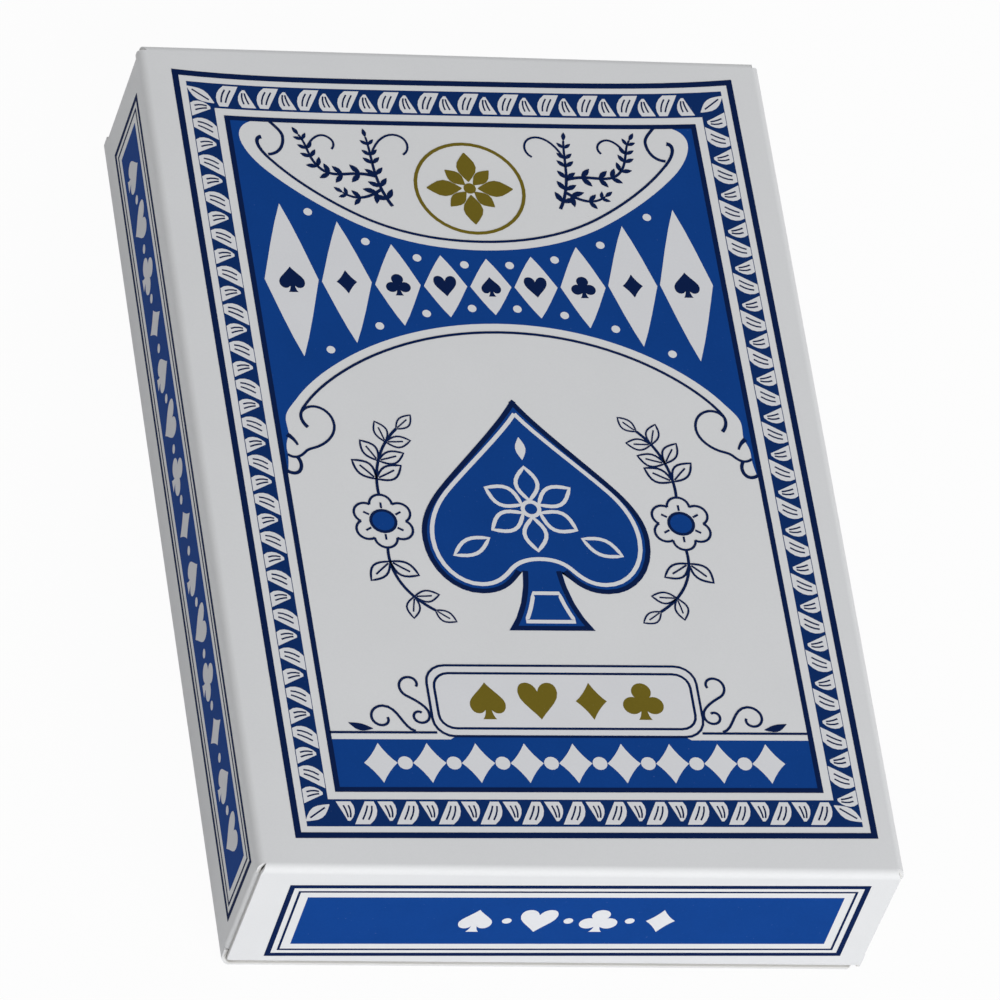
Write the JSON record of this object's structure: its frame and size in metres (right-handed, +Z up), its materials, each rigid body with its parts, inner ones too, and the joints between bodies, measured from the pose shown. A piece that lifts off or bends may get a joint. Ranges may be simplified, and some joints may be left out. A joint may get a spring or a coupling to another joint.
{
  "type": "boxed playing card deck",
  "caption": "Tuck-end paperboard carton holding a deck of round-cornered playing cards, with hinged end lids, tuck flaps and dust flaps.",
  "frame": {"origin": "middle of the back panel's outer face, which lies on the table", "axes": "+Y along the cards towards the top end, +Z up through the front panel, +X across the cards"},
  "size_m": [0.061, 0.092, 0.0165],
  "materials": {
    "carton_board": "white clay-coated folding board, satin varnish, printed in blue and ochre",
    "card_stock": "white coated card paper, semi-gloss, cut edges matt"
  },
  "bodies": {
    "carton": {"front_panel": "carton_board", "back_panel": "carton_board", "left_side_panel": "carton_board", "right_side_panel": "carton_board", "glue_flap": "carton_board"},
    "deck": {"ace_of_spades": "card_stock", "two_of_spades": "card_stock", "three_of_spades": "card_stock", "four_of_spades": "card_stock", "five_of_spades": "card_stock", "six_of_spades": "card_stock", "seven_of_spades": "card_stock", "eight_of_spades": "card_stock", "nine_of_spades": "card_stock", "ten_of_spades": "card_stock", "ace_of_hearts": "card_stock", "two_of_hearts": "card_stock", "three_of_hearts": "card_stock", "four_of_hearts": "card_stock", "five_of_hearts": "card_stock", "six_of_hearts": "card_stock", "seven_of_hearts": "card_stock", "eight_of_hearts": "card_stock", "nine_of_hearts": "card_stock", "ten_of_hearts": "card_stock", "ace_of_clubs": "card_stock", "two_of_clubs": "card_stock", "three_of_clubs": "card_stock", "four_of_clubs": "card_stock", "five_of_clubs": "card_stock", "six_of_clubs": "card_stock", "seven_of_clubs": "card_stock", "eight_of_clubs": "card_stock", "nine_of_clubs": "card_stock", "ten_of_clubs": "card_stock", "ace_of_diamonds": "card_stock", "two_of_diamonds": "card_stock", "three_of_diamonds": "card_stock", "four_of_diamonds": "card_stock", "five_of_diamonds": "card_stock", "six_of_diamonds": "card_stock", "seven_of_diamonds": "card_stock", "eight_of_diamonds": "card_stock", "nine_of_diamonds": "card_stock", "ten_of_diamonds": "card_stock", "court_cards_of_spades": "card_stock", "court_cards_of_hearts": "card_stock", "court_cards_of_clubs": "card_stock", "court_cards_of_diamonds": "card_stock", "jokers": "card_stock"},
    "top_lid": {"top_end_panel": "carton_board"},
    "top_tuck": {"top_tuck_flap": "carton_board"},
    "top_left_dust": {"top_left_dust_flap": "carton_board"},
    "top_right_dust": {"top_right_dust_flap": "carton_board"},
    "bottom_lid": {"bottom_end_panel": "carton_board"},
    "bottom_tuck": {"bottom_tuck_flap": "carton_board"},
    "bottom_left_dust": {"bottom_left_dust_flap": "carton_board"},
    "bottom_right_dust": {"bottom_right_dust_flap": "carton_board"}
  },
  "joints": [
    {"name": "top_lid_open", "type": "hinge", "parent": "carton", "child": "top_lid", "pos_m": [0, 0.046, 0.01651], "axis": [1, 0, 0], "range_deg": [0, 120]},
    {"name": "top_tuck_fold", "type": "hinge", "parent": "top_lid", "child": "top_tuck", "pos_m": [0, 0.0452, 0.0013], "axis": [-1, 0, 0], "range_deg": [0, 63]},
    {"name": "top_left_dust_fold", "type": "hinge", "parent": "carton", "child": "top_left_dust", "pos_m": [-0.0305, 0.0455, 0.00825], "axis": [0, 0, 1], "range_deg": [0, 39]},
    {"name": "top_right_dust_fold", "type": "hinge", "parent": "carton", "child": "top_right_dust", "pos_m": [0.0305, 0.0455, 0.00825], "axis": [0, 0, -1], "range_deg": [0, 39]},
    {"name": "bottom_lid_open", "type": "hinge", "parent": "carton", "child": "bottom_lid", "pos_m": [0, -0.046, 0.01651], "axis": [-1, 0, 0], "range_deg": [0, 120]},
    {"name": "bottom_tuck_fold", "type": "hinge", "parent": "bottom_lid", "child": "bottom_tuck", "pos_m": [0, -0.0452, 0.0013], "axis": [1, 0, 0], "range_deg": [0, 63]},
    {"name": "bottom_left_dust_fold", "type": "hinge", "parent": "carton", "child": "bottom_left_dust", "pos_m": [-0.0305, -0.0455, 0.00825], "axis": [0, 0, -1], "range_deg": [0, 39]},
    {"name": "bottom_right_dust_fold", "type": "hinge", "parent": "carton", "child": "bottom_right_dust", "pos_m": [0.0305, -0.0455, 0.00825], "axis": [0, 0, 1], "range_deg": [0, 39]},
    {"name": "deck_slide", "type": "slide", "parent": "carton", "child": "deck", "axis": [0, 1, 0], "range_m": [-0.0008, 0.0008]}
  ],
  "couplings": [
    {"joint": "top_tuck_fold", "follows": "top_lid_open", "ratio": 0.52},
    {"joint": "top_left_dust_fold", "follows": "top_lid_open", "ratio": 0.32},
    {"joint": "top_right_dust_fold", "follows": "top_lid_open", "ratio": 0.32},
    {"joint": "bottom_tuck_fold", "follows": "bottom_lid_open", "ratio": 0.52},
    {"joint": "bottom_left_dust_fold", "follows": "bottom_lid_open", "ratio": 0.32},
    {"joint": "bottom_right_dust_fold", "follows": "bottom_lid_open", "ratio": 0.32}
  ]
}
